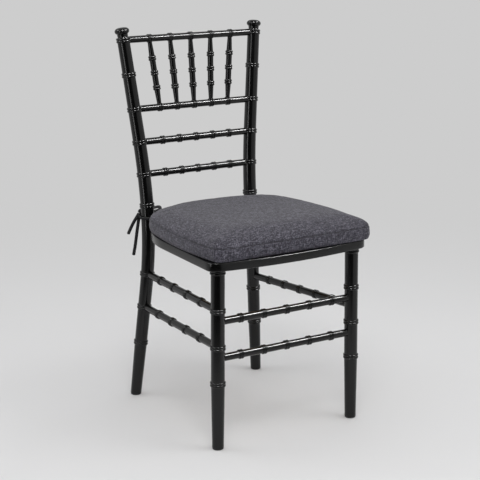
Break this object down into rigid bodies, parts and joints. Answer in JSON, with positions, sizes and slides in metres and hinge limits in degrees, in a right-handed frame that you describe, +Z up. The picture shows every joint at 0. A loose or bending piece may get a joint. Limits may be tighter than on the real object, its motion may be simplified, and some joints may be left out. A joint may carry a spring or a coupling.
{
  "type": "chiavari chair",
  "caption": "Ballroom chair with turned bamboo-style legs, posts, rails and spindles, a wooden seat frame and a tied seat cushion.",
  "frame": {"origin": "on the floor, under the middle of the chair", "axes": "+Z up, -Y towards the front of the seat, +X to the right of someone who looks at the chair from the front"},
  "size_m": [0.441, 0.4913, 0.92],
  "materials": {
    "frame_lacquer": "black lacquer, semi-gloss, on turned beech",
    "seat_panel_wood": "birch plywood",
    "dowel_wood": "beech, fluted",
    "screw_steel": "zinc plated",
    "glide_nylon": "black nylon",
    "cushion_fabric": "slate grey woven polyester",
    "cushion_foam": "open-cell foam",
    "cushion_board": "hardboard",
    "tie_cord": "black twisted cord"
  },
  "bodies": {
    "root": {"rear_post_left": "frame_lacquer", "rear_post_right": "frame_lacquer", "front_leg_left": "frame_lacquer", "front_leg_right": "frame_lacquer", "left_stretcher_upper": "frame_lacquer", "left_stretcher_lower": "frame_lacquer", "right_stretcher": "frame_lacquer", "front_stretcher_upper": "frame_lacquer", "front_stretcher_lower": "frame_lacquer", "spindle_1": "frame_lacquer", "spindle_2": "frame_lacquer", "spindle_3": "frame_lacquer", "spindle_4": "frame_lacquer", "spindle_5": "frame_lacquer", "top_rail": "frame_lacquer", "spindle_rail": "frame_lacquer", "middle_rail": "frame_lacquer", "lower_rail": "frame_lacquer", "seat_front_rail": "frame_lacquer", "seat_rear_rail": "frame_lacquer", "seat_left_rail": "frame_lacquer", "seat_right_rail": "frame_lacquer", "seat_panel": "seat_panel_wood", "seat_dowels": "dowel_wood", "post_screws": "screw_steel", "foot_glides": "glide_nylon", "cushion_cover": "cushion_fabric", "cushion_foam": "cushion_foam", "cushion_board": "cushion_board", "tie_wrap": "tie_cord", "tie_knot": "tie_cord", "tie_loop": "tie_cord", "tie_tail_short": "tie_cord", "tie_tail_long": "tie_cord"}
  },
  "joints": []
}
